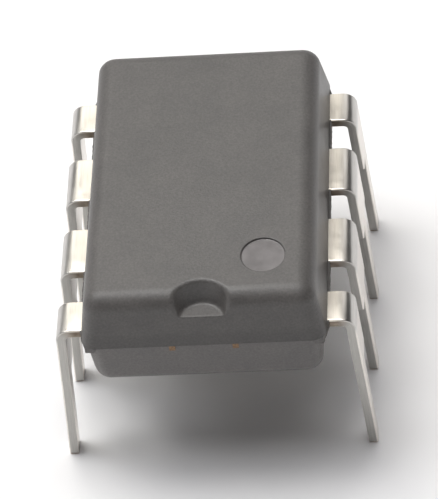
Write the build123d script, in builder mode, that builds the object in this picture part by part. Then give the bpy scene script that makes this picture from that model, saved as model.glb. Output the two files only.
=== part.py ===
from build123d import *
import os
from math import atan2, cos, degrees, hypot, radians, sin, tan

# Eight-lead dual in-line package, in millimetres.
# Frame: X across the package, Y along it with the notched end at -Y, Z up.
# Origin: centre of the footprint, on the plane that the lead tips stand on.

# ---- leads: stamped and bent strip ----
pitch = 2.54  # spacing of the leads along a row
leads_per_row = 4
sheet = 0.254  # thickness of the lead frame
leg_length = 3.15  # lead tip to the seating plane, where the wide shoulders end
leg_width = 0.46
shoulder_width = 1.52  # wide stretch of the inner leads
corner_reach = 0.26  # how far a corner lead's shoulder goes past its centre, towards the end
shoulder_out = 0.70  # side of the body to the outer face of the leg, at shoulder height
bend_inside = 0.13  # inner radius of the bend
splay = 3.2  # degrees that each leg leans outwards

# ---- moulded body ----
standoff = 0.45  # seating plane to the underside
lower_height = 1.62  # underside to the parting plane
upper_height = 1.58  # parting plane to the top
body_width = 6.44  # upper half, at the parting plane
end_margin = 0.91  # centre of a corner lead to the end of the body, at the parting plane
mould_step = 0.10  # how far the upper half stands proud of the lower half
upper_draft = 9.0  # degrees that the sides lean in
lower_draft = 4.0
corner_radius = 0.40  # upright corners, at the parting plane
far_corner_radius = 0.44  # upright corners, at the top and at the underside
top_edge_radius = 0.42
bottom_edge_radius = 0.34
dam_resin = 0.06  # rim of resin left between the leads, past the side of the body

# ---- orientation notch and lead 1 dimple ----
notch_radius = 0.60  # at the notch's floor
notch_depth = 0.62
notch_draft = 20.0
notch_out = 0.12  # centre of the notch past the end face, at the floor
notch_aside = 0.05  # centre of the notch from the middle of the body
notch_lip = 0.09  # rounding of its upper edge
dimple_radius = 0.57
dimple_depth = 0.06
dimple_from_end = 1.66  # centre of the dimple from the end of the body
dimple_from_side = 1.56  # and from its side, both at the parting plane

# ---- what the resin holds ----
paddle_width = 2.60
paddle_length = 3.40
downset = 0.15  # the paddle lies this much below the leads
downset_run = 0.30  # length of the sloped stretch of each tie bar
tie_bar_width = 0.16
tie_bar_from_middle = 0.83
tie_bar_stub = 0.03  # cut end past the face of the lower half
lead_gap = 0.30  # clear space between separate pieces of the lead frame
finger_width = 0.90
anchor_depth = 0.42  # how far the wide shoulder goes into the body
lock_hole_radius = 0.20  # hole in each lead that the resin fills
lock_hole_from_side = 0.32  # its centre from the side of the lower half
die_width = 1.50
die_length = 1.70
die_height = 0.28
attach_height = 0.03
attach_margin = 0.10  # adhesive past the edge of the die
wire_radius = 0.015
ball_radius = 0.04
ball_height = 0.02
loop_height = 0.17  # top of the wire loop above the die
loop_radius = 0.08
stitch_length = 0.12  # flat end of the wire on its lead
stitch_sink = 0.006  # how far the wire's end is flattened
pad_inset = 0.12  # bond pads from the edge of the die
side_pad_offset = 0.35  # pads of the inner leads, from the middle of the die
end_pad_offset = 0.45  # pads of the corner leads, from the middle of the die
bond_inset = 0.20  # wire's landing from the tip of its lead

# ---- levels and extents that follow from the values above ----
underside = leg_length + standoff
parting = underside + lower_height
top = parting + upper_height
lead_top = parting
lead_bottom = parting - sheet
half_row = (leads_per_row - 1) * pitch / 2
body_length = 2 * (half_row + end_margin)
lower_width = body_width - 2 * mould_step
lower_length = body_length - 2 * mould_step
paddle_top = lead_top - downset
die_bottom = paddle_top + attach_height
die_top = die_bottom + die_height

# The leg's faces are straight lines that lean outwards from the bend to the tip.
lean = radians(splay)
leg_outer_at_top = body_width / 2 + shoulder_out
tip_inner = leg_outer_at_top + lead_top * tan(lean) - sheet / cos(lean)
bend_outside = bend_inside + sheet
bend_height = lead_bottom - bend_inside
bend_centre = tip_inner - bend_height * tan(lean) - bend_inside / cos(lean)

# Where the fingers inside the body end.
finger_tip = paddle_width / 2 + lead_gap
tongue_side = tie_bar_from_middle + tie_bar_width / 2 + lead_gap
tongue_tip = paddle_length / 2 + lead_gap

os.makedirs("parts", exist_ok=True)
metal = []


def lead_places():
    """Lead number, side of the body (+1 or -1 along X) and distance along the row.

    Lead 1 is at the notched end on the +X side. The numbers run up that side and back down the other.
    """
    for row in range(leads_per_row):
        along = row * pitch - half_row
        yield row + 1, 1, along
        yield 2 * leads_per_row - row, -1, along


def finish(piece, name):
    """Label a finished piece and write it to its own file."""
    piece.part.label = name
    export_step(piece.part, f"parts/{name}.step")


# ---- leads ----
# Each lead is one strip: a finger inside the body, a wide shoulder, the bend, and a narrow leg.
for number, side, along in lead_places():
    towards_end = 1 if along > 0 else -1
    is_corner = abs(along) > half_row - pitch / 2
    inner_edge = along - towards_end * shoulder_width / 2
    outer_edge = along + towards_end * (corner_reach if is_corner else shoulder_width / 2)
    band_width = abs(outer_edge - inner_edge)
    band_middle = (outer_edge + inner_edge) / 2
    anchor_start = lower_width / 2 - anchor_depth

    with BuildPart() as lead:
        # the bent strip, seen along the row and given the shoulder's width
        strip_plane = Plane(origin=(0, band_middle, 0), x_dir=(side, 0, 0), z_dir=(0, -side, 0))
        with BuildSketch(strip_plane):
            with BuildLine():
                Line((anchor_start, lead_top), (bend_centre, lead_top))
                outside = CenterArc((bend_centre, bend_height), bend_outside, 90, splay - 90)
                tip_outer_point = (tip_inner + sheet * cos(lean), sheet * sin(lean))
                Line(outside @ 1, tip_outer_point)
                Line(tip_outer_point, (tip_inner, 0))
                inside = CenterArc((bend_centre, bend_height), bend_inside, 90, splay - 90)
                Line((tip_inner, 0), inside @ 1)
                Line(inside @ 0, (anchor_start, lead_bottom))
                Line((anchor_start, lead_bottom), (anchor_start, lead_top))
            make_face()
        extrude(amount=band_width / 2, both=True)

        # below the seating plane only the narrow leg is left
        with BuildSketch(Plane.XY):
            for edge, outwards in ((inner_edge, -towards_end), (outer_edge, towards_end)):
                leg_edge = along + outwards * leg_width / 2
                trim = abs(edge - leg_edge)
                with Locations((side * tip_inner, (edge + leg_edge) / 2)):
                    Rectangle(2 * (leg_length * tan(lean) + 2 * sheet), trim)
        extrude(amount=leg_length, mode=Mode.SUBTRACT)

        # the finger that carries the bond wire, flat in the plane of the lead frame
        with BuildSketch(Plane.XY.offset(lead_bottom)):
            if is_corner:
                finger_middle = outer_edge - towards_end * finger_width / 2
                run = anchor_start - tongue_side
                with Locations((side * (tongue_side + run / 2), finger_middle)):
                    Rectangle(run, finger_width)
                tongue = abs(finger_middle) - tongue_tip
                tongue_middle = towards_end * (tongue_tip + tongue / 2)
                with Locations((side * (tongue_side + finger_width / 2), tongue_middle)):
                    Rectangle(finger_width, tongue)
            else:
                run = anchor_start - finger_tip
                with Locations((side * (finger_tip + run / 2), along)):
                    Rectangle(run, finger_width)
        extrude(amount=sheet)

        with Locations(Plane.XY.offset(lead_top)):
            with Locations((side * (lower_width / 2 - lock_hole_from_side), band_middle)):
                Hole(lock_hole_radius)

    finish(lead, f"lead_{number}")
    metal.append(lead.part)

# ---- die paddle, with the tie bars that held it while the body was moulded ----
tie_bar_end = lower_length / 2 + tie_bar_stub
with BuildPart() as die_paddle:
    with BuildSketch(Plane.XY.offset(paddle_top - sheet)):
        Rectangle(paddle_width, paddle_length)
    extrude(amount=sheet)
    for side in (1, -1):
        for end in (1, -1):
            slope_start = paddle_length / 2
            slope_end = slope_start + downset_run
            with BuildSketch(Plane.YZ.offset(side * tie_bar_from_middle)):
                with BuildLine():
                    Polyline(
                        (end * slope_start, paddle_top),
                        (end * slope_end, lead_top),
                        (end * tie_bar_end, lead_top),
                        (end * tie_bar_end, lead_bottom),
                        (end * slope_end, lead_bottom),
                        (end * slope_start, paddle_top - sheet),
                        close=True,
                    )
                make_face()
            extrude(amount=tie_bar_width / 2, both=True)
finish(die_paddle, "die_paddle")
metal.append(die_paddle.part)

# ---- adhesive under the die ----
with BuildPart() as die_attach:
    with BuildSketch(Plane.XY.offset(paddle_top)):
        Rectangle(die_width + 2 * attach_margin, die_length + 2 * attach_margin)
    extrude(amount=attach_height)
finish(die_attach, "die_attach")
metal.append(die_attach.part)

# ---- silicon die ----
with BuildPart() as silicon_die:
    with BuildSketch(Plane.XY.offset(die_bottom)):
        Rectangle(die_width, die_length)
    extrude(amount=die_height)
finish(silicon_die, "silicon_die")
metal.append(silicon_die.part)

# ---- bond wires: a ball on the die, a loop, and a flattened end on the lead's finger ----
for number, side, along in lead_places():
    towards_end = 1 if along > 0 else -1
    if abs(along) > half_row - pitch / 2:
        pad_x = side * end_pad_offset
        pad_y = towards_end * (die_length / 2 - pad_inset)
        land_x = side * (tongue_side + finger_width / 2)
        land_y = towards_end * (tongue_tip + bond_inset)
    else:
        pad_x = side * (die_width / 2 - pad_inset)
        pad_y = towards_end * side_pad_offset
        land_x = side * (finger_tip + bond_inset)
        land_y = along
    span = hypot(land_x - pad_x, land_y - pad_y)
    heading = degrees(atan2(land_y - pad_y, land_x - pad_x))
    wire_plane = Plane.XZ.rotated((0, 0, heading))
    wire_plane.origin = (pad_x, pad_y, 0)
    wire_foot = lead_top + wire_radius - stitch_sink

    with BuildPart() as bond_wire:
        with BuildSketch(Plane.XY.offset(die_top)):
            with Locations((pad_x, pad_y)):
                Circle(ball_radius)
        extrude(amount=ball_height)
        with BuildLine(wire_plane) as loop:
            FilletPolyline(
                (0, die_top + ball_height / 2),
                (0, die_top + loop_height),
                (span - stitch_length, wire_foot),
                (span, wire_foot),
                radius=loop_radius,
            )
        with BuildSketch(Plane((pad_x, pad_y, die_top + ball_height / 2))):
            Circle(wire_radius)
        sweep(path=loop.line)
        # the landing is pressed flat on the lead
        split(bisect_by=Plane.XY.offset(lead_top), keep=Keep.TOP)
    finish(bond_wire, f"bond_wire_{number}")
    metal.append(bond_wire.part)

# ---- moulded body: two drafted halves around the metal ----
top_inset = upper_height * tan(radians(upper_draft))
bottom_inset = lower_height * tan(radians(lower_draft))
with BuildPart() as body:
    with BuildSketch(Plane.XY.offset(parting)):
        RectangleRounded(body_width, body_length, corner_radius)
    with BuildSketch(Plane.XY.offset(top)):
        RectangleRounded(body_width - 2 * top_inset, body_length - 2 * top_inset, far_corner_radius)
    loft(ruled=True)
    fillet(body.faces().sort_by(Axis.Z)[-1].edges(), top_edge_radius)

    # half-round notch in the end by leads 1 and 8
    notch_floor = top - notch_depth
    end_at_floor = body_length / 2 - (upper_height - notch_depth) * tan(radians(upper_draft))
    notch_mouth = notch_radius + notch_depth * tan(radians(notch_draft))
    notch_centre = (notch_aside, -end_at_floor - notch_out)
    with BuildSketch(Plane.XY.offset(notch_floor)):
        with Locations(notch_centre):
            Circle(notch_radius)
    with BuildSketch(Plane.XY.offset(top)):
        with Locations(notch_centre):
            Circle(notch_mouth)
    loft(ruled=True, mode=Mode.SUBTRACT)
    above_floor = notch_floor + notch_lip / 2
    wall_edges = body.edges(Select.NEW).filter_by(lambda edge: edge.center().Z > above_floor)
    fillet(wall_edges, notch_lip)

    # round dimple by lead 1
    with BuildSketch(Plane.XY.offset(top)):
        with Locations((body_width / 2 - dimple_from_side, dimple_from_end - body_length / 2)):
            Circle(dimple_radius)
    extrude(amount=-dimple_depth, mode=Mode.SUBTRACT)

    with BuildSketch(Plane.XY.offset(parting)):
        RectangleRounded(lower_width, lower_length, corner_radius)
    with BuildSketch(Plane.XY.offset(underside)):
        RectangleRounded(lower_width - 2 * bottom_inset, lower_length - 2 * bottom_inset, far_corner_radius)
    loft(ruled=True)
    fillet(body.faces().sort_by(Axis.Z)[0].edges(), bottom_edge_radius)

    # square-cornered rim, as thick as the lead frame, that filled the mould between the leads
    rim_side = body_width / 2 + dam_resin
    rim_end = half_row + corner_reach
    with BuildSketch(Plane.XY.offset(lead_bottom)):
        with BuildLine():
            Polyline(
                (rim_side, -rim_end),
                (rim_side, rim_end),
                (lower_width / 2, lower_length / 2),
                (-lower_width / 2, lower_length / 2),
                (-rim_side, rim_end),
                (-rim_side, -rim_end),
                (-lower_width / 2, -lower_length / 2),
                (lower_width / 2, -lower_length / 2),
                close=True,
            )
        make_face()
    extrude(amount=sheet)

    # the metal takes up its own space in the resin
    for piece in metal:
        add(piece, mode=Mode.SUBTRACT)
finish(body, "body")
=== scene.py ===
"""Looks of the eight-lead dual in-line package: fine meshes, materials, light, floor and camera.

Working lengths are in millimetres, in the part's own frame. Meshes are scaled to metres as they are made.
"""

from math import asin, atan2, cos, hypot, pi, radians, sin, tan

import bpy
import numpy as np
from mathutils import Matrix, Vector, noise


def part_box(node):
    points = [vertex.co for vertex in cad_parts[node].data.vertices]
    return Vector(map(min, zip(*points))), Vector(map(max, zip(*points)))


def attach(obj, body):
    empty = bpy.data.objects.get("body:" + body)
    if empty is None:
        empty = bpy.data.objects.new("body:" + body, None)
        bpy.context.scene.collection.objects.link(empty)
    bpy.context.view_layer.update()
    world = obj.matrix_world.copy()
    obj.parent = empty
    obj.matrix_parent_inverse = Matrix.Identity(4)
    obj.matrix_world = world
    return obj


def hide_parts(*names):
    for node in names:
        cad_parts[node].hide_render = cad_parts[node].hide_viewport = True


MM = 0.001

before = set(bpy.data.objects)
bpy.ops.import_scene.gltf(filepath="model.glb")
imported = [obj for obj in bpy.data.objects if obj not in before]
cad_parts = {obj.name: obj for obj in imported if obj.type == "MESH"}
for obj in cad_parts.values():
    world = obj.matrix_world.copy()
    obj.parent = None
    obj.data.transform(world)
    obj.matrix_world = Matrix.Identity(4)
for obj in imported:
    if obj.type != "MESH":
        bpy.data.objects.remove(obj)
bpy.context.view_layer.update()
body_low, body_high = [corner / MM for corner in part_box("body")]

# ---- sizes of the part that the looks are built on ----
PITCH = 2.54
SHEET = 0.254
LEG_LENGTH = 3.15
LEG_WIDTH = 0.46
SHOULDER_WIDTH = 1.52
CORNER_REACH = 0.26
SHOULDER_OUT = 0.70
BEND_INSIDE = 0.13
LEAN = radians(3.2)
MOULD_STEP = 0.10
UPPER_HEIGHT = 1.58
UPPER_DRAFT = radians(9.0)
LOWER_DRAFT = radians(4.0)
CORNER_RADIUS = 0.40
FAR_CORNER_RADIUS = 0.44
TOP_EDGE_RADIUS = 0.42
BOTTOM_EDGE_RADIUS = 0.34
DAM_RESIN = 0.06
NOTCH_RADIUS = 0.60
NOTCH_DEPTH = 0.62
NOTCH_DRAFT = radians(20.0)
NOTCH_OUT = 0.12
NOTCH_ASIDE = 0.05
NOTCH_LIP = 0.09
DIMPLE_RADIUS = 0.57
DIMPLE_DEPTH = 0.06
DIMPLE_FROM_END = 1.66
DIMPLE_FROM_SIDE = 1.56
ANCHOR_DEPTH = 0.42
FINGER_WIDTH = 0.90
FINGER_TIP = 1.60
TONGUE_SIDE = 1.21
TONGUE_TIP = 2.00

UNDERSIDE, TOP = body_low.z, body_high.z
PARTING = TOP - UPPER_HEIGHT
LEAD_BOTTOM = PARTING - SHEET
HALF_LENGTH = body_high.y
RIM_SIDE = body_high.x
HALF_WIDTH = RIM_SIDE - DAM_RESIN
HALF_ROW = 1.5 * PITCH
RIM_END = HALF_ROW + CORNER_REACH
LOWER_HALF_WIDTH = HALF_WIDTH - MOULD_STEP
LOWER_HALF_LENGTH = HALF_LENGTH - MOULD_STEP


# ---- mesh helpers ----
def make_mesh_object(name, points, faces, materials, face_materials=None, uv=None, sharp_angle=radians(38)):
    """A smooth-shaded object from points in millimetres. uv holds one pair of numbers per point."""
    mesh = bpy.data.meshes.new(name)
    mesh.from_pydata((np.asarray(points, float) * MM).tolist(), [], faces)
    for material in materials:
        mesh.materials.append(material)
    if face_materials is not None:
        mesh.polygons.foreach_set("material_index", face_materials)
    if uv is not None:
        corners = np.empty(len(mesh.loops), np.int32)
        mesh.loops.foreach_get("vertex_index", corners)
        layer = mesh.uv_layers.new(name="strip")
        layer.data.foreach_set("uv", np.asarray(uv, np.float32)[corners].ravel())
    face_outwards(mesh)
    mesh.shade_smooth()
    mesh.set_sharp_from_angle(angle=sharp_angle)
    made = bpy.data.objects.new(name, mesh)
    bpy.context.scene.collection.objects.link(made)
    return made


def face_outwards(mesh):
    """Turns all faces outwards on a closed mesh."""
    import bmesh

    worked = bmesh.new()
    worked.from_mesh(mesh)
    bmesh.ops.recalc_face_normals(worked, faces=worked.faces)
    worked.to_mesh(mesh)
    worked.free()


def loop_faces(first, second, count):
    """Quads between two closed loops of count points that start at the indices first and second."""
    return [(first + k, first + (k + 1) % count, second + (k + 1) % count, second + k) for k in range(count)]


def rounded_max(a, b, radius):
    """Where two signed distances meet in an outer edge, rounds that edge."""
    corner = np.hypot(np.maximum(a + radius, 0), np.maximum(b + radius, 0))
    return np.minimum(-radius, np.maximum(a, b)) + corner


def smoothstep(low, high, value):
    share = np.clip((value - low) / (high - low), 0, 1)
    return share * share * (3 - 2 * share)


def rounded_rectangle(half_width, half_length, radius, front, side, back, arc):
    """Points round a rectangle with rounded corners, from the middle of the +X side towards +Y.

    front and back hold x positions of points on the two ends as shares of the straight stretch, from -1 to 1.
    side holds the same along the sides, and arc the number of steps in each corner.
    """
    straight_x, straight_y = half_width - radius, half_length - radius
    points = [(half_width, share * straight_y) for share in side]
    turns = np.linspace(0, pi / 2, arc + 1)[1:-1]
    points += [(straight_x + radius * cos(t), straight_y + radius * sin(t)) for t in turns]
    points += [(-share * straight_x, half_length) for share in back]
    points += [(-straight_x - radius * sin(t), straight_y + radius * cos(t)) for t in turns]
    points += [(-half_width, -share * straight_y) for share in side]
    points += [(-straight_x - radius * cos(t), -straight_y - radius * sin(t)) for t in turns]
    points += [(share * straight_x, -half_length) for share in front]
    points += [(straight_x + radius * sin(t), -straight_y - radius * cos(t)) for t in turns]
    return np.array(points)


# ---- upper half of the body: one grid from the parting edge up and over to the flat top ----
notch_floor = TOP - NOTCH_DEPTH
notch_y = -(HALF_LENGTH - (UPPER_HEIGHT - NOTCH_DEPTH) * tan(UPPER_DRAFT)) - NOTCH_OUT
dimple_x = HALF_WIDTH - DIMPLE_FROM_SIDE
dimple_y = DIMPLE_FROM_END - HALF_LENGTH


def upper_half(x, y, z):
    """Signed distance to the drafted upper half with its rounded top edge and notch, below zero inside."""
    rise = z - PARTING
    inset = rise * tan(UPPER_DRAFT)
    corner = CORNER_RADIUS + (FAR_CORNER_RADIUS - CORNER_RADIUS) * rise / UPPER_HEIGHT
    past_x = np.abs(x) - (HALF_WIDTH - inset - corner)
    past_y = np.abs(y) - (HALF_LENGTH - inset - corner)
    wall = np.hypot(np.maximum(past_x, 0), np.maximum(past_y, 0))
    wall = (wall + np.minimum(np.maximum(past_x, past_y), 0) - corner) * cos(UPPER_DRAFT)
    block = rounded_max(wall, z - TOP, TOP_EDGE_RADIUS)
    across = np.hypot(x - NOTCH_ASIDE, y - notch_y)
    cone = (across - NOTCH_RADIUS - (z - notch_floor) * tan(NOTCH_DRAFT)) * cos(NOTCH_DRAFT)
    hollow = rounded_max(cone, notch_floor - z, 0.07)
    lip = 0.03 + (NOTCH_LIP - 0.03) * smoothstep(notch_floor, notch_floor + 0.25, z)
    return rounded_max(block, -hollow, lip)


def make_upper_half(materials):
    inner_half_width, inner_half_length = 2.36, 3.73
    pole_height = PARTING + 0.73
    straight = HALF_WIDTH - CORNER_RADIUS
    near_wall = np.arange(0.46, 0.94, 0.009)
    across_notch = np.concatenate([-near_wall[::-1], np.arange(-0.44, 0.45, 0.02), near_wall]) + NOTCH_ASIDE
    front = np.concatenate([np.linspace(-straight, -1.0, 20), across_notch, np.linspace(1.1, straight, 20)]) / straight
    side = np.linspace(-1, 1, 70)
    back = np.linspace(-1, 1, 48)
    layout = dict(front=front, side=side, back=back, arc=22)
    outer = rounded_rectangle(HALF_WIDTH, HALF_LENGTH, CORNER_RADIUS, **layout)
    inner = rounded_rectangle(inner_half_width, inner_half_length, 0.06, **layout)
    columns, rings, angles = len(outer), 118, 300

    # from a point inside, rays fan out in each column's upright plane, from the parting edge up to the vertical
    reach = outer - inner
    run = np.hypot(reach[:, 0], reach[:, 1])
    heading = reach / run[:, None]
    lowest = -np.arctan2(pole_height - PARTING, run)
    lift = lowest[:, None] + (pi / 2 - lowest)[:, None] * np.linspace(0, 1, angles)[None, :]
    near, far = np.zeros_like(lift), np.full_like(lift, 3.0)
    for _ in range(30):
        middle = (near + far) / 2
        level = np.cos(lift) * middle
        x = inner[:, 0, None] + heading[:, 0, None] * level
        y = inner[:, 1, None] + heading[:, 1, None] * level
        z = pole_height + np.sin(lift) * middle
        inside = upper_half(x, y, z) < 0
        near, far = np.where(inside, middle, near), np.where(inside, far, middle)

    # each column's points are spread evenly along it
    fine = np.stack([x, y, z], axis=-1)
    grid = np.empty((rings, columns, 3))
    for column in range(columns):
        steps = np.linalg.norm(np.diff(fine[column], axis=0), axis=1)
        travelled = np.concatenate([[0], np.cumsum(steps)])
        wanted = np.linspace(0, travelled[-1], rings)
        for axis in range(3):
            grid[:, column, axis] = np.interp(wanted, travelled, fine[column, :, axis])
    grid[0, :, :2], grid[0, :, 2] = outer, PARTING
    grid[-1, :, :2], grid[-1, :, 2] = inner, TOP

    points = grid.reshape(-1, 3).tolist()
    faces = []
    for ring in range(rings - 1):
        faces += loop_faces(ring * columns, (ring + 1) * columns, columns)
    faces.append(tuple(range(columns)))

    # the dimple: rounded rim, short wall, rounded foot and a flat floor
    rim, foot = 0.045, 0.02
    profile = [(DIMPLE_RADIUS + rim * (1 - sin(t)), TOP - rim * 0.6 * (1 - cos(t))) for t in np.linspace(0, pi / 2, 9)]
    profile += [
        (DIMPLE_RADIUS - foot * (1 - cos(t)), TOP - DIMPLE_DEPTH + foot * (1 - sin(t)))
        for t in np.linspace(0, pi / 2, 6)
    ]
    profile += [(share * DIMPLE_RADIUS, TOP - DIMPLE_DEPTH) for share in (0.9, 0.75, 0.6, 0.45, 0.3, 0.15)]
    turns = np.linspace(0, 2 * pi, 128, endpoint=False)
    first = len(points)
    for radius, height in profile:
        points += [(dimple_x + radius * cos(t), dimple_y + radius * sin(t), height) for t in turns]
    points.append((dimple_x, dimple_y, TOP - DIMPLE_DEPTH))
    floor_from = len(faces) + 11 * len(turns)
    for ring in range(len(profile) - 1):
        faces += loop_faces(first + ring * len(turns), first + (ring + 1) * len(turns), len(turns))
    last = first + (len(profile) - 1) * len(turns)
    faces += [(last + k, last + (k + 1) % len(turns), len(points) - 1) for k in range(len(turns))]
    floor_to = len(faces)

    # the flat top between the grid and the dimple
    top_loop = [(rings - 1) * columns + k for k in range(columns)]
    dimple_loop = [first + k for k in range(len(turns))]
    faces += fill_between(points, top_loop, dimple_loop)
    slots = np.zeros(len(faces), np.int32)
    slots[floor_from:floor_to] = 1
    return make_mesh_object("body_shell", points, faces, materials, slots)


def fill_between(points, outer_loop, hole_loop):
    """Triangles of the flat ring between two loops of indices."""
    from mathutils.geometry import delaunay_2d_cdt

    indices = outer_loop + hole_loop
    flat = [Vector(points[i][:2]) for i in indices]
    edges = []
    start = 0
    for loop in (outer_loop, hole_loop):
        edges += [(start + k, start + (k + 1) % len(loop)) for k in range(len(loop))]
        start += len(loop)
    _, _, triangles, _, _, _ = delaunay_2d_cdt(flat, edges, [], 1, 1e-7)
    hole = set(range(len(outer_loop), len(indices)))
    return [tuple(indices[i] for i in t) for t in triangles if not set(t) <= hole]


# ---- lower half ----
def make_lower_half(material):
    layout = dict(front=np.linspace(-1, 1, 40), side=np.linspace(-1, 1, 60), back=np.linspace(-1, 1, 40), arc=18)
    drop = PARTING - UNDERSIDE
    bottom_inset = drop * tan(LOWER_DRAFT)
    levels = [(0.0, PARTING + 0.08, CORNER_RADIUS), (0.0, PARTING, CORNER_RADIUS)]
    wall_end = UNDERSIDE + BOTTOM_EDGE_RADIUS * (1 - sin(LOWER_DRAFT))
    for height in np.linspace(PARTING, wall_end, 16)[1:-1]:
        share = (PARTING - height) / drop
        levels.append((share * bottom_inset, height, CORNER_RADIUS + share * (FAR_CORNER_RADIUS - CORNER_RADIUS)))
    arc_middle = bottom_inset + BOTTOM_EDGE_RADIUS * (1 / cos(LOWER_DRAFT) - tan(LOWER_DRAFT))
    for turn in np.linspace(LOWER_DRAFT, pi / 2, 14):
        inset = arc_middle - BOTTOM_EDGE_RADIUS * cos(turn)
        corner = FAR_CORNER_RADIUS - (inset - bottom_inset)
        levels.append((inset, UNDERSIDE + BOTTOM_EDGE_RADIUS * (1 - sin(turn)), corner))
    points, faces, count = [], [], 0
    for inset, height, corner in levels:
        loop = rounded_rectangle(LOWER_HALF_WIDTH - inset, LOWER_HALF_LENGTH - inset, corner, **layout)
        count = len(loop)
        points += [(x, y, height) for x, y in loop]
    for ring in range(len(levels) - 1):
        faces += loop_faces(ring * count, (ring + 1) * count, count)
    faces.append(tuple(range(count)))
    faces.append(tuple(range(len(points) - count, len(points))))
    return make_mesh_object("lower_half", points, faces, [material])


# ---- rim of resin between and beside the leads, with the uneven face that the trim tool leaves ----
def make_rim_piece(name, side, from_y, to_y, front_at, material):
    """One stretch of the rim. front_at(y) is how far out it reaches."""
    back, bottom, height = LOWER_HALF_WIDTH - 0.25, LEAD_BOTTOM, SHEET - 0.002
    stations = np.linspace(from_y, to_y, max(4, int(abs(to_y - from_y) / 0.02)))
    heights = np.linspace(0, 1, 11)
    points, faces = [], []
    for y in stations:
        points.append((side * back, y, bottom))
        for share in heights:
            z = bottom + height * share
            worn = 0.012 * (0.5 + noise.noise(Vector((side * 5, y * 7, z * 9)))) + 0.01 * (
                0.5 + noise.noise(Vector((side * 3, y * 31, z * 40)))
            )
            chip = 0.02 * max(0.0, noise.noise(Vector((side, y * 5, 4))) - 0.1) * (share > 0.8)
            points.append((side * (front_at(y) - max(0.0, worn) - chip), y, z))
        points.append((side * back, y, bottom + height))
    count = len(heights) + 2
    for station in range(len(stations) - 1):
        faces += loop_faces(station * count, (station + 1) * count, count)
    faces.append(tuple(range(count)))
    faces.append(tuple(range(len(points) - count, len(points))))
    return make_mesh_object(name, points, faces, [material])


def make_rim(material):
    pieces = []
    tuck = 0.03
    for side in (1, -1):
        for gap in range(3):
            middle = (gap - 1) * PITCH
            half = (PITCH - SHOULDER_WIDTH) / 2 + tuck
            name = f"rim_{side}_{gap}"
            pieces.append(make_rim_piece(name, side, middle - half, middle + half, lambda y: RIM_SIDE, material))
        for end in (1, -1):

            def chamfer(y):
                share = (abs(y) - RIM_END) / (LOWER_HALF_LENGTH - RIM_END)
                return RIM_SIDE + min(max(share, 0), 1) * (LOWER_HALF_WIDTH - RIM_SIDE)

            name = f"rim_{side}_end_{end}"
            from_y, to_y = end * (RIM_END - tuck), end * (LOWER_HALF_LENGTH - 0.002)
            pieces.append(make_rim_piece(name, side, from_y, to_y, chamfer, material))
    return pieces


def unite(base, parts):
    """Joins closed objects into base and removes them."""
    for part in parts:
        joined = base.modifiers.new("union", "BOOLEAN")
        joined.operation, joined.solver, joined.object = "UNION", "MANIFOLD", part
        bpy.context.view_layer.update()
        view = bpy.context.evaluated_depsgraph_get()
        mesh = bpy.data.meshes.new_from_object(base.evaluated_get(view))
        base.modifiers.clear()
        base.data = mesh
        bpy.data.objects.remove(part)
    base.data.shade_smooth()
    base.data.set_sharp_from_angle(angle=radians(38))
    return base


# ---- leads ----
BEND_MIDDLE = BEND_INSIDE + SHEET / 2
bend_z = LEAD_BOTTOM - BEND_INSIDE
tip_inner = HALF_WIDTH + SHOULDER_OUT + PARTING * tan(LEAN) - SHEET / cos(LEAN)
bend_x = tip_inner - bend_z * tan(LEAN) - BEND_INSIDE / cos(LEAN)
bend_length = BEND_MIDDLE * (pi / 2 - LEAN)
leg_start_z = bend_z + BEND_MIDDLE * sin(LEAN)


def strip_distance(z):
    """Distance along the strip at which the leg's middle is at that height."""
    return bend_x + bend_length + (leg_start_z - z) / cos(LEAN)


def bend_strip(distance, depth):
    """Place across and up of a point of the flat strip, after bending. depth is from the middle of the sheet."""
    turn = np.clip((distance - bend_x) / BEND_MIDDLE, 0, pi / 2 - LEAN)
    beyond = np.maximum(distance - bend_x - bend_length, 0)
    flat = np.minimum(distance, bend_x)
    across = flat + (BEND_MIDDLE + depth) * np.sin(turn) + beyond * sin(LEAN)
    up = bend_z + (BEND_MIDDLE + depth) * np.cos(turn) - beyond * cos(LEAN)
    # the tip is cut level
    near_tip = smoothstep(strip_distance(0.4), strip_distance(0.0), distance)
    return across, up + near_tip * depth * sin(LEAN) * -1.0


def edge_line(stages, breaks, end, sign, radius, stations):
    """One long edge of a lead's outline, as (distance, y) points with rounded steps between its stages."""
    line = [(stations[0], stages[0])]
    for index, at in enumerate(breaks):
        before, after = stages[index], stages[index + 1]
        step = (after - before) * sign
        bend = min(radius, abs(step) * 0.49)
        outwards = 1 if step > 0 else -1
        previous = line[-1][0]
        line += [(t, before) for t in stations if previous + 1e-6 < t < at - radius - 1e-6]
        for turn in np.linspace(0, pi / 2, 7):
            line.append((at - bend + bend * sin(turn), before + sign * outwards * bend * (1 - cos(turn))))
        for turn in np.linspace(0, pi / 2, 7):
            place = at + 0.002 + bend * (1 - cos(turn))
            line.append((place, after - sign * outwards * bend * (1 - sin(turn))))
    last, previous = stages[-1], line[-1][0]
    line += [(t, last) for t in stations if max(previous, breaks[-1] + radius) + 1e-6 < t < end - 0.05]
    for turn in np.linspace(0, pi / 2, 7):
        line.append((end - 0.04 + 0.04 * sin(turn), last - sign * 0.04 * (1 - cos(turn))))
    return line


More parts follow.
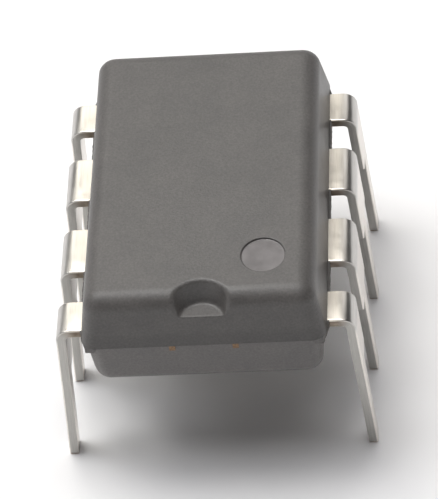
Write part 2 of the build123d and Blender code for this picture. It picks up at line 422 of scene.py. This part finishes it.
def make_lead(number, side, along, materials):
    towards_end = 1 if along > 0 else -1
    corner = abs(along) > HALF_ROW - PITCH / 2
    shoulder_in = along - towards_end * SHOULDER_WIDTH / 2
    shoulder_out = along + towards_end * (CORNER_REACH if corner else SHOULDER_WIDTH / 2)
    leg_in, leg_out = along - towards_end * LEG_WIDTH / 2, along + towards_end * LEG_WIDTH / 2
    anchor = LOWER_HALF_WIDTH - ANCHOR_DEPTH
    seat = strip_distance(LEG_LENGTH)
    if corner:
        start = TONGUE_SIDE
        breaks = [TONGUE_SIDE + FINGER_WIDTH, anchor, seat]
        inner_stages = [towards_end * TONGUE_TIP, shoulder_out - towards_end * FINGER_WIDTH, shoulder_in, leg_in]
        outer_stages = [shoulder_out, shoulder_out, shoulder_out, leg_out]
    else:
        start = FINGER_TIP
        breaks = [anchor, seat]
        inner_stages = [along - towards_end * FINGER_WIDTH / 2, shoulder_in, leg_in]
        outer_stages = [along + towards_end * FINGER_WIDTH / 2, shoulder_out, leg_out]
    end = strip_distance(0.0)
    bend_end = bend_x + bend_length
    stations = np.concatenate(
        [
            np.linspace(start, bend_x, 22),
            np.linspace(bend_x, bend_end, 29)[1:],
            np.arange(bend_end + 0.05, end - 0.05, 0.06),
        ]
    )
    inner = edge_line(inner_stages, breaks, end, -towards_end, 0.06, stations)
    outer = edge_line(outer_stages, breaks, end, towards_end, 0.06, stations)
    count = len(inner)
    outline = np.array(inner + outer[::-1])
    ahead, behind = np.roll(outline, -1, axis=0), np.roll(outline, 1, axis=0)
    tangent = ahead - behind
    tangent /= np.linalg.norm(tangent, axis=1)[:, None]
    turning = np.sum(outline[:, 0] * ahead[:, 1] - ahead[:, 0] * outline[:, 1])
    inwards = np.sign(turning) * np.stack([-tangent[:, 1], tangent[:, 0]], axis=1)

    # sheared sheet: a rolled-over edge on the outer face, a crisp one on the inner face
    roll, crisp, half = 0.038, 0.010, SHEET / 2
    profile = [(crisp * (1 - sin(t)), -half + crisp * (1 - cos(t))) for t in np.linspace(0, pi / 2, 4)]
    profile += [(roll * (1 - cos(t)), half - roll * (1 - sin(t))) for t in np.linspace(0, pi / 2, 8)]
    points, uv, faces, slots = [], [], [], []
    for inset, depth in profile:
        flat = outline + inset * inwards
        across, up = bend_strip(flat[:, 0], depth)
        points += [(side * a, y, z) for a, y, z in zip(across, flat[:, 1], up)]
        uv += [(t, y + depth + number) for t, y in flat]
    total = 2 * count
    for ring in range(len(profile) - 1):
        faces += loop_faces(ring * total, (ring + 1) * total, total)
        sheared = ring == 3
        for k in range(total):
            at_tip = count - 7 <= k <= count + 5
            slots.append(2 if at_tip and sheared else 1 if sheared else 0)
    for ring in (0, len(profile) - 1):
        base = ring * total
        for k in range(count - 1):
            faces.append((base + k, base + k + 1, base + total - 2 - k, base + total - 1 - k))
            slots.append(0)
    return make_mesh_object(f"lead_{number}_plated", points, faces, materials, slots, uv, radians(50))


# ---- materials ----
class Surface:
    """A node material that is built step by step."""

    def __init__(self, name, **constants):
        self.material = bpy.data.materials.new(name)
        self.material.use_nodes = True
        self.tree = self.material.node_tree
        self.shader = self.tree.nodes["Principled BSDF"]
        for socket, value in constants.items():
            self.shader.inputs[socket.replace("_", " ")].default_value = value
        self.place = self.tree.nodes.new("ShaderNodeTexCoord").outputs["Object"]

    def link(self, source, target):
        self.tree.links.new(source, target)

    def node(self, kind, **settings):
        made = self.tree.nodes.new("ShaderNode" + kind)
        for name, value in settings.items():
            if hasattr(made, name):
                setattr(made, name, value)
            else:
                made.inputs[name.replace("_", " ")].default_value = value
        return made

    def speckle(self, size, detail=2.0, roughness=0.5, source=None, stretch=None):
        """Noise whose grains are about size millimetres. stretch scales the place it is read at."""
        made = self.node("TexNoise", Scale=1 / (size * MM), Detail=detail, Roughness=roughness)
        place = source or self.place
        if stretch:
            mapping = self.node("Mapping", Scale=stretch)
            self.link(place, mapping.inputs["Vector"])
            place = mapping.outputs["Vector"]
        self.link(place, made.inputs["Vector"])
        return made.outputs["Fac"]

    def strip_place(self):
        """The place on the flat strip that a lead is bent from, in millimetres."""
        return self.node("UVMap", uv_map="strip").outputs["UV"]

    def strip_lines(self, along, across):
        """Streaks on a lead, with that many grains to the millimetre along the strip and across it."""
        mapping = self.node("Mapping", Scale=(along, across, 1.0))
        self.link(self.strip_place(), mapping.inputs["Vector"])
        made = self.node("TexNoise", Scale=1.0, Detail=3.0, Roughness=0.6)
        self.link(mapping.outputs["Vector"], made.inputs["Vector"])
        return made.outputs["Fac"]

    def strip_share(self, low, high):
        """Share from 0 to 1 of the distance along a lead between low and high."""
        split = self.node("SeparateXYZ")
        self.link(self.strip_place(), split.inputs[0])
        made = self.node("MapRange")
        made.inputs["From Min"].default_value = low
        made.inputs["From Max"].default_value = high
        self.link(split.outputs["X"], made.inputs["Value"])
        return made.outputs["Result"]

    def ramp(self, source, stops):
        """Colour ramp with stops of (position, colour or grey)."""
        made = self.node("ValToRGB")
        elements = made.color_ramp.elements
        while len(elements) < len(stops):
            elements.new(0.5)
        for element, (position, colour) in zip(elements, stops):
            element.position = position
            element.color = (*colour, 1) if isinstance(colour, tuple) else (colour, colour, colour, 1)
        self.link(source, made.inputs["Fac"])
        return made.outputs["Color"]

    def mix(self, share, first, second, mode="MIX"):
        made = self.node("Mix", data_type="RGBA", blend_type=mode)
        for value, socket in ((share, made.inputs[0]), (first, made.inputs[6]), (second, made.inputs[7])):
            if isinstance(value, bpy.types.NodeSocket):
                self.link(value, socket)
            elif isinstance(value, tuple):
                socket.default_value = (*value, 1)
            else:
                socket.default_value = value
        return made.outputs[2]

    def height_map(self, source, low, high):
        """Share from 0 to 1 of a height in millimetres between low and high."""
        split = self.node("SeparateXYZ")
        self.link(source, split.inputs[0])
        made = self.node("MapRange")
        made.inputs["From Min"].default_value = low * MM
        made.inputs["From Max"].default_value = high * MM
        self.link(split.outputs["Z"], made.inputs["Value"])
        return made.outputs["Result"]

    def facing_up(self):
        """Share from 0 on upright walls to 1 on level faces."""
        split = self.node("SeparateXYZ")
        self.link(self.node("NewGeometry").outputs["Normal"], split.inputs[0])
        made = self.node("MapRange")
        made.inputs["From Min"].default_value = 0.35
        made.inputs["From Max"].default_value = 0.90
        self.link(split.outputs["Z"], made.inputs["Value"])
        return made.outputs["Result"]

    def bump(self, layers):
        """Bump from layers of (source, height in millimetres, strength)."""
        normal = None
        for source, height, strength in layers:
            made = self.node("Bump", Strength=strength, Distance=height * MM)
            self.link(source, made.inputs["Height"])
            if normal is not None:
                self.link(normal, made.inputs["Normal"])
            normal = made.outputs["Normal"]
        self.link(normal, self.shader.inputs["Normal"])

    def paint(self, colour=None, roughness=None):
        if colour is not None:
            self.link(colour, self.shader.inputs["Base Color"])
        if roughness is not None:
            self.link(roughness, self.shader.inputs["Roughness"])
        return self.material


def moulding_compound():
    made = Surface("moulding_compound", IOR=1.55)
    grain = made.speckle(0.06, 4, 0.6)
    cloud = made.speckle(0.9, 3, 0.55)
    filler = made.speckle(0.022, 1)
    colour = made.ramp(grain, [(0.3, (0.074, 0.069, 0.067)), (0.7, (0.111, 0.104, 0.100))])
    tint = made.ramp(cloud, [(0.3, (0.88, 0.88, 0.88)), (0.7, (1.08, 1.07, 1.06))])
    colour = made.mix(1.0, colour, tint, "MULTIPLY")
    # painted light and shade: the lower half is painted lighter for the light it gets from the floor, and a band just
    # above the parting line is painted darker for the shadowed floor it reflects
    level = made.height_map(made.place, PARTING - 0.30, PARTING + 0.50)
    painted_light_and_shade = made.ramp(level, [(0.0, 1.25), (0.30, 1.16), (0.375, 0.76), (0.72, 0.80), (1.0, 1.0)])
    colour = made.mix(1.0, colour, painted_light_and_shade, "MULTIPLY")
    made.bump([(grain, 0.012, 0.55), (filler, 0.004, 0.5)])
    # the walls of the mould were smoother than its top
    facing = made.facing_up()
    rough = made.mix(facing, made.ramp(cloud, [(0.3, 0.32), (0.7, 0.40)]), made.ramp(cloud, [(0.3, 0.46), (0.7, 0.56)]))
    return made.paint(colour, rough)


def dimple_floor():
    made = Surface("dimple_floor", IOR=1.55)
    grain = made.speckle(0.08, 3)
    cloud = made.speckle(0.35, 2)
    # painted sheen: the floor's colour is painted lighter than the resin for the light its smoother surface reflects
    colour = made.ramp(cloud, [(0.3, (0.140, 0.130, 0.130)), (0.7, (0.190, 0.176, 0.177))])
    made.bump([(grain, 0.003, 0.4)])
    return made.paint(colour, made.ramp(cloud, [(0.3, 0.30), (0.7, 0.42)]))


def tin_plate():
    made = Surface("tin_plate", Metallic=1.0)
    rolled = made.strip_lines(along=38.0, across=1.4)
    fine = made.strip_lines(along=110.0, across=3.0)
    cloud = made.speckle(0.30, 3)
    colour = made.ramp(rolled, [(0.25, (0.76, 0.70, 0.62)), (0.5, (0.85, 0.79, 0.71)), (0.75, (0.90, 0.85, 0.77))])
    # painted shade: the outside of the bend, and less so the leg below it, is painted darker for the dark surroundings
    # it reflects
    bend = made.strip_share(bend_x - 0.10, bend_x + bend_length + 0.30)
    bend_shade_tint, leg_shade_tint = (0.72, 0.75, 0.80), (0.90, 0.92, 0.96)
    painted_bend_shade = made.ramp(bend, [(0.0, 1.0), (0.35, bend_shade_tint), (0.60, (0.60, 0.63, 0.68)), (1.0, leg_shade_tint)])
    colour = made.mix(1.0, colour, painted_bend_shade, "MULTIPLY")
    made.bump([(rolled, 0.002, 0.45), (fine, 0.001, 0.4), (cloud, 0.004, 0.25)])
    return made.paint(colour, made.ramp(cloud, [(0.3, 0.28), (0.7, 0.35)]))


def sheared_edge():
    made = Surface("sheared_edge", Metallic=1.0)
    drag = made.strip_lines(along=1.5, across=26.0)
    cloud = made.speckle(0.2, 3)
    plated = made.ramp(drag, [(0.3, (0.40, 0.39, 0.37)), (0.7, (0.52, 0.51, 0.485))])
    bare_alloy_and_shade = made.ramp(cloud, [(0.3, (0.17, 0.135, 0.10)), (0.7, (0.32, 0.275, 0.225))])
    # bare alloy shows where the bar between the shoulders was cut away, and that colour is also painted darker as
    # shade, for the body's shadow these faces reflect
    colour = made.mix(made.strip_share(bend_x - 0.10, bend_x + 0.25), bare_alloy_and_shade, plated)
    made.bump([(drag, 0.006, 0.5), (cloud, 0.006, 0.35)])
    return made.paint(colour, made.ramp(drag, [(0.3, 0.42), (0.7, 0.58)]))


def cut_tip():
    made = Surface("cut_tip", Metallic=1.0)
    patches = made.speckle(0.12, 3)
    colour = made.ramp(patches, [(0.35, (0.36, 0.24, 0.15)), (0.6, (0.55, 0.46, 0.38))])
    made.bump([(patches, 0.012, 0.6)])
    return made.paint(colour, made.ramp(patches, [(0.3, 0.40), (0.7, 0.60)]))


def copper_alloy():
    made = Surface("copper_alloy", Metallic=0.8)
    patches = made.speckle(0.05, 3)
    colour = made.ramp(patches, [(0.3, (0.13, 0.085, 0.055)), (0.55, (0.27, 0.175, 0.105)), (0.75, (0.36, 0.25, 0.16))])
    made.bump([(patches, 0.010, 0.7)])
    return made.paint(colour, made.ramp(patches, [(0.3, 0.45), (0.7, 0.65)]))


def silver_adhesive():
    made = Surface("silver_adhesive", Metallic=0.6)
    flakes = made.speckle(0.03, 3)
    colour = made.ramp(flakes, [(0.3, (0.42, 0.42, 0.42)), (0.7, (0.72, 0.72, 0.70))])
    made.bump([(flakes, 0.006, 0.6)])
    return made.paint(colour, made.ramp(flakes, [(0.3, 0.40), (0.7, 0.60)]))


def silicon():
    made = Surface("silicon", Metallic=0.7)
    blocks = made.node("TexVoronoi", Scale=9000.0, distance="CHEBYCHEV")
    made.link(made.place, blocks.inputs["Vector"])
    colour = made.ramp(blocks.outputs["Distance"], [(0.1, (0.10, 0.12, 0.17)), (0.6, (0.26, 0.27, 0.34))])
    made.bump([(blocks.outputs["Distance"], 0.002, 0.4)])
    return made.paint(colour, made.ramp(made.speckle(0.2), [(0.3, 0.16), (0.7, 0.24)]))


def gold_wire():
    made = Surface("gold_wire", Metallic=1.0)
    drawn = made.speckle(0.02, 2)
    colour = made.ramp(drawn, [(0.3, (0.86, 0.62, 0.24)), (0.7, (1.0, 0.78, 0.38))])
    made.bump([(drawn, 0.0006, 0.4)])
    return made.paint(colour, made.ramp(drawn, [(0.3, 0.18), (0.7, 0.28)]))


# ---- the object ----
resin, smooth_resin_with_painted_sheen = moulding_compound(), dimple_floor()
shell = make_upper_half([resin, smooth_resin_with_painted_sheen])
shell = unite(shell, [make_lower_half(resin), *make_rim(resin)])
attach(shell, "root")
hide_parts("body")

plating = [tin_plate(), sheared_edge(), cut_tip()]
for row in range(4):
    place = (row - 1.5) * PITCH
    for lead_number, lead_side in ((row + 1, 1), (8 - row, -1)):
        lead = make_lead(lead_number, lead_side, place, plating)
        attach(lead, "root")
        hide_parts(f"lead_{lead_number}")

inside_finishes = {
    "die_paddle": copper_alloy(),
    "die_attach": silver_adhesive(),
    "silicon_die": silicon(),
    "bond_wire": gold_wire(),
}
for node_name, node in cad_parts.items():
    for start, finish in inside_finishes.items():
        if node_name.startswith(start):
            node.data.materials.clear()
            node.data.materials.append(finish)


# ---- floor ----
def shown_directly(tree):
    """1 on camera rays and on rays that a glossy or clear surface passes on, otherwise 0."""
    path = tree.nodes.new("ShaderNodeLightPath")
    share = path.outputs["Is Camera Ray"]
    for kind in ("Is Glossy Ray", "Is Transmission Ray"):
        either = tree.nodes.new("ShaderNodeMath")
        either.operation = "MAXIMUM"
        tree.links.new(share, either.inputs[0])
        tree.links.new(path.outputs[kind], either.inputs[1])
        share = either.outputs[0]
    return share


def make_floor():
    bpy.ops.mesh.primitive_circle_add(vertices=128, radius=1.2, fill_type="NGON", location=(0, 0, 0))
    floor = bpy.context.object
    floor.name = "floor"
    made = Surface("floor", Roughness=0.85)
    cloud = made.speckle(6.0, 2)
    colour = made.ramp(cloud, [(0.3, (0.88, 0.87, 0.88)), (0.7, (0.92, 0.91, 0.915))])
    made.paint(colour)
    # far from the object the floor runs into the white backdrop
    tree = made.tree
    length = made.node("VectorMath", operation="LENGTH")
    made.link(made.place, length.inputs[0])
    away = made.node("MapRange", interpolation_type="SMOOTHSTEP")
    away.inputs["From Min"].default_value = 0.014
    away.inputs["From Max"].default_value = 0.06
    made.link(length.outputs["Value"], away.inputs["Value"])
    both = made.node("Math", operation="MULTIPLY")
    made.link(away.outputs["Result"], both.inputs[0])
    made.link(shown_directly(tree), both.inputs[1])
    white = made.node("Emission", Color=(1, 1, 1, 1), Strength=1.0)
    blend = made.node("MixShader")
    made.link(both.outputs[0], blend.inputs[0])
    made.link(made.shader.outputs[0], blend.inputs[1])
    made.link(white.outputs[0], blend.inputs[2])
    made.link(blend.outputs[0], tree.nodes["Material Output"].inputs["Surface"])
    floor.data.materials.append(made.material)


make_floor()


# ---- light ----
LIGHT_DISTANCE = 150


def make_softbox(name, azimuth, elevation, width, height, power, colour=(1.0, 0.99, 0.975)):
    """Oval soft light turned to the object, its azimuth counted in degrees from the rear towards +X."""
    light = bpy.data.lights.new(name, "AREA")
    light.shape, light.size, light.size_y = "ELLIPSE", width * MM, height * MM
    light.energy, light.color = power, colour
    lamp = bpy.data.objects.new(name, light)
    turn, climb = radians(azimuth), radians(elevation)
    away = Vector((sin(turn) * cos(climb), cos(turn) * cos(climb), sin(climb)))
    across = (Vector((1, 0, 0)) - away.x * away).normalized()
    facing = Matrix((across, away.cross(across), away)).transposed().to_4x4()
    lamp.matrix_world = Matrix.Translation(away * LIGHT_DISTANCE * MM) @ facing
    bpy.context.scene.collection.objects.link(lamp)


# the brightest ones hang overhead and to the left, dimmer ones behind
make_softbox("overhead", 0, 90, 90, 90, 0.075, (0.98, 0.98, 1.0))
make_softbox("high_left", -45, 72, 80, 80, 0.100, (1.0, 0.99, 0.94))
make_softbox("high_right", 45, 72, 80, 80, 0.024)
make_softbox("left", -85, 62, 80, 70, 0.058, (0.95, 0.97, 1.0))
make_softbox("rear_left", -60, 36, 80, 60, 0.012, (1.0, 0.99, 0.95))
make_softbox("rear", -20, 36, 80, 60, 0.026, (1.0, 0.99, 0.93))
make_softbox("rear_right", 20, 38, 80, 60, 0.014)
make_softbox("rear_low", 0, 20, 200, 50, 0.006)

world = bpy.data.worlds.new("studio")
bpy.context.scene.world = world
world.use_nodes = True
sky = world.node_tree
direction = sky.nodes.new("ShaderNodeTexCoord").outputs["Generated"]
split = sky.nodes.new("ShaderNodeSeparateXYZ")
sky.links.new(direction, split.inputs[0])
# a pale room on the camera's side, dark elsewhere
room = sky.nodes.new("ShaderNodeMapRange")
room.inputs["From Min"].default_value, room.inputs["From Max"].default_value = -0.3, -0.9
room.inputs["To Min"].default_value, room.inputs["To Max"].default_value = 0.0, 0.16
sky.links.new(split.outputs["Y"], room.inputs["Value"])
# its side walls are lit too, the left one more
glow = room.outputs["Result"]
for side, strength in ((-1, 0.22), (1, 0.05)):
    wall = sky.nodes.new("ShaderNodeMapRange")
    wall.inputs["From Min"].default_value, wall.inputs["From Max"].default_value = 0.45 * side, 0.85 * side
    wall.inputs["To Min"].default_value, wall.inputs["To Max"].default_value = 0.0, strength
    sky.links.new(split.outputs["X"], wall.inputs["Value"])
    total = sky.nodes.new("ShaderNodeMath")
    sky.links.new(glow, total.inputs[0])
    sky.links.new(wall.outputs["Result"], total.inputs[1])
    glow = total.outputs[0]
studio = sky.nodes["Background"]
studio.inputs["Color"].default_value = (1, 1, 1, 1)
sky.links.new(glow, studio.inputs["Strength"])
# the white backdrop stands behind the floor and ends a little above the horizon
backdrop = sky.nodes.new("ShaderNodeBackground")
backdrop.inputs["Color"].default_value = (1, 1, 1, 1)
low = sky.nodes.new("ShaderNodeMapRange")
low.interpolation_type = "SMOOTHSTEP"
low.inputs["From Min"].default_value, low.inputs["From Max"].default_value = 0.16, 0.06
sky.links.new(split.outputs["Z"], low.inputs["Value"])
both = sky.nodes.new("ShaderNodeMath")
both.operation = "MULTIPLY"
sky.links.new(low.outputs["Result"], both.inputs[0])
sky.links.new(shown_directly(sky), both.inputs[1])
shown = sky.nodes.new("ShaderNodeMixShader")
sky.links.new(both.outputs[0], shown.inputs[0])
sky.links.new(studio.outputs[0], shown.inputs[1])
sky.links.new(backdrop.outputs[0], shown.inputs[2])
sky.links.new(shown.outputs[0], sky.nodes["World Output"].inputs["Surface"])

# ---- camera ----
azimuth, elevation, roll = radians(8.141), radians(48.398), radians(-8.606)
target = Vector((0.1214, -0.0791, 3.6635))
distance = 96.737
back = Vector((sin(azimuth) * cos(elevation), -cos(azimuth) * cos(elevation), sin(elevation)))
level = Vector((cos(azimuth), sin(azimuth), 0))
rise = back.cross(level)
right = cos(roll) * level + sin(roll) * rise
up = -sin(roll) * level + cos(roll) * rise
lens = bpy.data.cameras.new("camera")
lens.sensor_width, lens.lens = 36.0, 257.6
lens.clip_start, lens.clip_end = 0.002, 10.0
camera = bpy.data.objects.new("camera", lens)
camera.matrix_world = Matrix.Translation((target + distance * back) * MM) @ Matrix((right, up, back)).transposed().to_4x4()
bpy.context.scene.collection.objects.link(camera)
bpy.context.scene.camera = camera

bpy.context.scene.view_settings.view_transform = "Standard"
